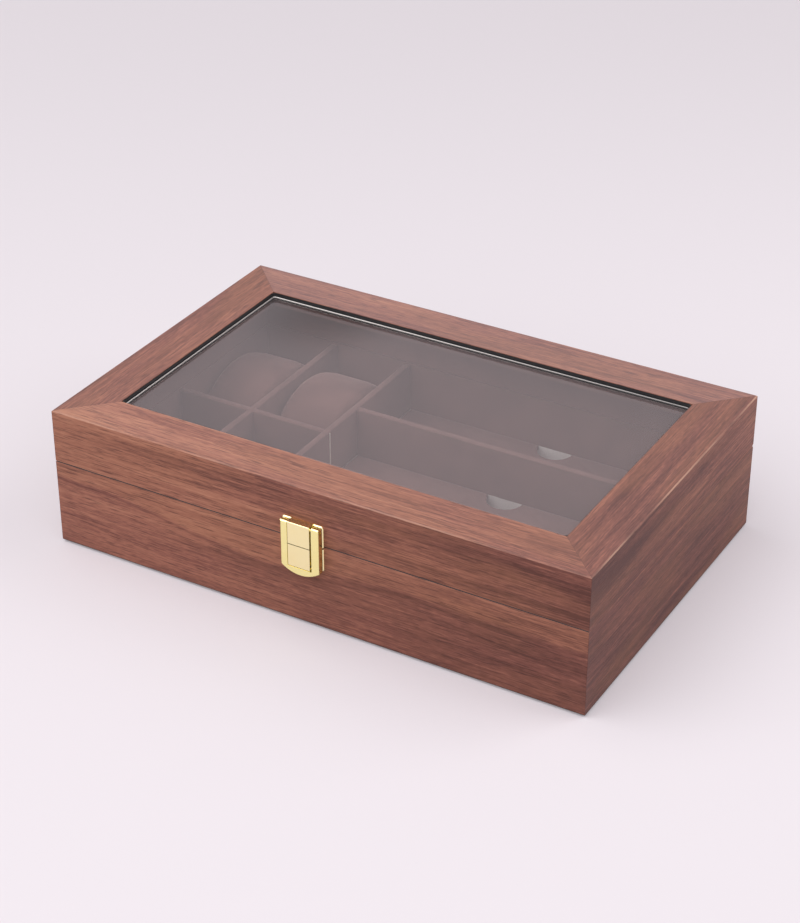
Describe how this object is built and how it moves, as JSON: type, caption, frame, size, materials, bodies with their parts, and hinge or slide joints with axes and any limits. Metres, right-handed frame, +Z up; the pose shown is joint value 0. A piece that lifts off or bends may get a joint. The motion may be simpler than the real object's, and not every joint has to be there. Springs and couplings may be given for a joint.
{
  "type": "watch and glasses box",
  "caption": "Wooden box with a hinged, glazed lid and a gold flip latch, lined in velvet, with cushioned bays for watches and long bays for glasses.",
  "frame": {"origin": "middle of the underside, on the surface the box stands on", "axes": "+X along the front to the right, +Y from the latch to the hinges, +Z up"},
  "size_m": [0.32, 0.2103, 0.083],
  "materials": {
    "walnut": "satin veneer",
    "board": "bare board",
    "velvet": "short pile velvet",
    "cushion_velvet": "short pile velvet",
    "felt": "felt",
    "glass": "polished",
    "black_strip": "satin",
    "silver_strip": "polished",
    "gold": "polished"
  },
  "bodies": {
    "base": {"base_front_wall": "walnut", "base_back_wall": "walnut", "base_left_wall": "walnut", "base_right_wall": "walnut", "bottom_panel": "board", "bottom_felt": "felt", "base_lining_front": "velvet", "base_lining_back": "velvet", "base_lining_left": "velvet", "base_lining_right": "velvet", "watch_floor_board": "velvet", "long_divider": "velvet", "watch_row_divider": "velvet", "watch_column_divider": "velvet", "glasses_divider_front": "velvet", "glasses_divider_rear": "velvet", "floor_battens": "board", "hinge_base_leaf_left": "gold", "hinge_base_leaf_right": "gold", "hinge_pin_left": "gold", "hinge_pin_right": "gold", "hinge_base_brads": "gold", "latch_keeper": "gold", "latch_keeper_brads": "gold"},
    "lid": {"lid_front_rail": "walnut", "lid_back_rail": "walnut", "lid_left_rail": "walnut", "lid_right_rail": "walnut", "glass_pane": "glass", "window_edging": "black_strip", "window_bead": "silver_strip", "glass_retainer_front": "velvet", "glass_retainer_back": "velvet", "glass_retainer_left": "velvet", "glass_retainer_right": "velvet", "lid_lining_front": "velvet", "lid_lining_back": "velvet", "lid_lining_left": "velvet", "lid_lining_right": "velvet", "hinge_lid_leaf_left": "gold", "hinge_lid_leaf_right": "gold", "hinge_lid_brads": "gold", "latch_lid_plate": "gold", "latch_pin": "gold", "latch_lid_brads": "gold"},
    "latch_flap": {"latch_flap": "gold"},
    "cushion_front_left": {"cushion_front_left": "cushion_velvet"},
    "cushion_front_right": {"cushion_front_right": "cushion_velvet"},
    "cushion_rear_left": {"cushion_rear_left": "cushion_velvet"},
    "cushion_rear_right": {"cushion_rear_right": "cushion_velvet"},
    "glasses_floor_front": {"glasses_floor_front": "velvet"},
    "glasses_floor_middle": {"glasses_floor_middle": "velvet"},
    "glasses_floor_rear": {"glasses_floor_rear": "velvet"}
  },
  "joints": [
    {"name": "lid_hinge", "type": "hinge", "parent": "base", "child": "lid", "pos_m": [0, 0.101, 0.0517], "axis": [-1, 0, 0], "range_deg": [0, 100]},
    {"name": "latch_flip", "type": "hinge", "parent": "lid", "child": "latch_flap", "pos_m": [-0.002, -0.1055, 0.0618], "axis": [-1, 0, 0], "range_deg": [0, 110]},
    {"name": "cushion_front_left_lift", "type": "slide", "parent": "base", "child": "cushion_front_left", "axis": [0, 0, 1], "range_m": [0, 0.018]},
    {"name": "cushion_front_right_lift", "type": "slide", "parent": "base", "child": "cushion_front_right", "axis": [0, 0, 1], "range_m": [0, 0.018]},
    {"name": "cushion_rear_left_lift", "type": "slide", "parent": "base", "child": "cushion_rear_left", "axis": [0, 0, 1], "range_m": [0, 0.018]},
    {"name": "cushion_rear_right_lift", "type": "slide", "parent": "base", "child": "cushion_rear_right", "axis": [0, 0, 1], "range_m": [0, 0.018]},
    {"name": "glasses_floor_front_lift", "type": "slide", "parent": "base", "child": "glasses_floor_front", "axis": [0, 0, 1], "range_m": [0, 0.045]},
    {"name": "glasses_floor_middle_lift", "type": "slide", "parent": "base", "child": "glasses_floor_middle", "axis": [0, 0, 1], "range_m": [0, 0.045]},
    {"name": "glasses_floor_rear_lift", "type": "slide", "parent": "base", "child": "glasses_floor_rear", "axis": [0, 0, 1], "range_m": [0, 0.045]}
  ]
}
